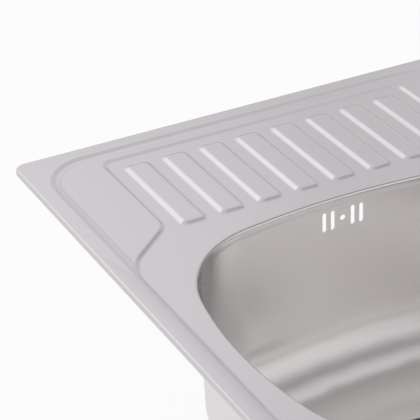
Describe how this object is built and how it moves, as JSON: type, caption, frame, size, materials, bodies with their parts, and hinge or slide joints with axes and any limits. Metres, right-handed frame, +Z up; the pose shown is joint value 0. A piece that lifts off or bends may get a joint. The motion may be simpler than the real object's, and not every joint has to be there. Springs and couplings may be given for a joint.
{
  "type": "inset kitchen sink",
  "caption": "Inset kitchen sink with a round-cornered bowl beside a ribbed drainer, overflow holes in the rear wall, swing clips under the rim and a lift-out basket waste.",
  "frame": {"origin": "centre of the deck's outline, on the worktop surface that the rim rests on", "axes": "+Y along the long side of the deck towards the drainer, +X across the deck to the right when the drainer is at the back, +Z up"},
  "size_m": [0.48, 0.58, 0.2674],
  "materials": {
    "deck": "satin, fine brushed",
    "bowl": "satin, drawn and brushed",
    "rim_gasket": "closed-cell foam, dull",
    "damping_pads": "dull",
    "waste_dish": "polished",
    "waste_upper_seal": "dull",
    "waste_lower_seal": "dull",
    "waste_cup": "moulded, slightly glossy",
    "waste_insert": "turned",
    "waste_screw": "bright",
    "clip_lugs": "plain",
    "clip_rivets": "bright",
    "basket_cup": "polished",
    "stopper": "dull",
    "stopper_post": "bright",
    "stopper_knob": "mirror",
    "post_ring": "bright",
    "clip_arm_rear_left": "zinc plated",
    "clip_arm_rear_right": "zinc plated",
    "clip_arm_left": "zinc plated",
    "clip_arm_right": "zinc plated",
    "clip_arm_front_left": "zinc plated",
    "clip_arm_front_right": "zinc plated",
    "clip_screw_rear_left": "zinc plated",
    "clip_screw_rear_right": "zinc plated",
    "clip_screw_left": "zinc plated",
    "clip_screw_right": "zinc plated",
    "clip_screw_front_left": "zinc plated",
    "clip_screw_front_right": "zinc plated"
  },
  "bodies": {
    "sink": {"deck": "deck", "bowl": "bowl", "rim_gasket": "rim_gasket", "damping_pads": "damping_pads", "waste_dish": "waste_dish", "waste_upper_seal": "waste_upper_seal", "waste_lower_seal": "waste_lower_seal", "waste_cup": "waste_cup", "waste_insert": "waste_insert", "waste_screw": "waste_screw", "clip_lugs": "clip_lugs", "clip_rivets": "clip_rivets"},
    "basket": {"basket_cup": "basket_cup"},
    "plunger": {"stopper": "stopper", "stopper_post": "stopper_post", "stopper_knob": "stopper_knob", "post_ring": "post_ring"},
    "arm_rear_left": {"clip_arm_rear_left": "clip_arm_rear_left"},
    "screw_rear_left": {"clip_screw_rear_left": "clip_screw_rear_left"},
    "arm_rear_right": {"clip_arm_rear_right": "clip_arm_rear_right"},
    "screw_rear_right": {"clip_screw_rear_right": "clip_screw_rear_right"},
    "arm_left": {"clip_arm_left": "clip_arm_left"},
    "screw_left": {"clip_screw_left": "clip_screw_left"},
    "arm_right": {"clip_arm_right": "clip_arm_right"},
    "screw_right": {"clip_screw_right": "clip_screw_right"},
    "arm_front_left": {"clip_arm_front_left": "clip_arm_front_left"},
    "screw_front_left": {"clip_screw_front_left": "clip_screw_front_left"},
    "arm_front_right": {"clip_arm_front_right": "clip_arm_front_right"},
    "screw_front_right": {"clip_screw_front_right": "clip_screw_front_right"}
  },
  "joints": [
    {"name": "basket_lift", "type": "slide", "parent": "sink", "child": "basket", "axis": [0, 0, 1], "range_m": [0, 0.24]},
    {"name": "stopper_lift", "type": "slide", "parent": "basket", "child": "plunger", "axis": [0, 0, 1], "range_m": [0, 0.006]},
    {"name": "arm_rear_left_swing", "type": "hinge", "parent": "sink", "child": "arm_rear_left", "pos_m": [-0.181, 0.258, -0.0066], "axis": [1, 0, 0], "range_deg": [0, 32]},
    {"name": "screw_rear_left_travel", "type": "slide", "parent": "arm_rear_left", "child": "screw_rear_left", "axis": [0, 0, 1], "range_m": [0, 0.0056]},
    {"name": "arm_rear_right_swing", "type": "hinge", "parent": "sink", "child": "arm_rear_right", "pos_m": [0.181, 0.258, -0.0066], "axis": [1, 0, 0], "range_deg": [0, 32]},
    {"name": "screw_rear_right_travel", "type": "slide", "parent": "arm_rear_right", "child": "screw_rear_right", "axis": [0, 0, 1], "range_m": [0, 0.0056]},
    {"name": "arm_left_swing", "type": "hinge", "parent": "sink", "child": "arm_left", "pos_m": [-0.208, -0.173, -0.0091], "axis": [0, 1, 0], "range_deg": [0, 32]},
    {"name": "screw_left_travel", "type": "slide", "parent": "arm_left", "child": "screw_left", "axis": [0, 0, 1], "range_m": [0, 0.0056]},
    {"name": "arm_right_swing", "type": "hinge", "parent": "sink", "child": "arm_right", "pos_m": [0.208, -0.173, -0.0091], "axis": [0, -1, 0], "range_deg": [0, 32]},
    {"name": "screw_right_travel", "type": "slide", "parent": "arm_right", "child": "screw_right", "axis": [0, 0, 1], "range_m": [0, 0.0056]},
    {"name": "arm_front_left_swing", "type": "hinge", "parent": "sink", "child": "arm_front_left", "pos_m": [-0.13, -0.258, -0.0091], "axis": [-1, 0, 0], "range_deg": [0, 32]},
    {"name": "screw_front_left_travel", "type": "slide", "parent": "arm_front_left", "child": "screw_front_left", "axis": [0, 0, 1], "range_m": [0, 0.0056]},
    {"name": "arm_front_right_swing", "type": "hinge", "parent": "sink", "child": "arm_front_right", "pos_m": [0.13, -0.258, -0.0091], "axis": [-1, 0, 0], "range_deg": [0, 32]},
    {"name": "screw_front_right_travel", "type": "slide", "parent": "arm_front_right", "child": "screw_front_right", "axis": [0, 0, 1], "range_m": [0, 0.0056]}
  ],
  "couplings": [
    {"joint": "screw_rear_left_travel", "follows": "arm_rear_left_swing", "m_per_rad": 0.01},
    {"joint": "screw_rear_right_travel", "follows": "arm_rear_right_swing", "m_per_rad": 0.01},
    {"joint": "screw_left_travel", "follows": "arm_left_swing", "m_per_rad": 0.01},
    {"joint": "screw_right_travel", "follows": "arm_right_swing", "m_per_rad": 0.01},
    {"joint": "screw_front_left_travel", "follows": "arm_front_left_swing", "m_per_rad": 0.01},
    {"joint": "screw_front_right_travel", "follows": "arm_front_right_swing", "m_per_rad": 0.01}
  ]
}
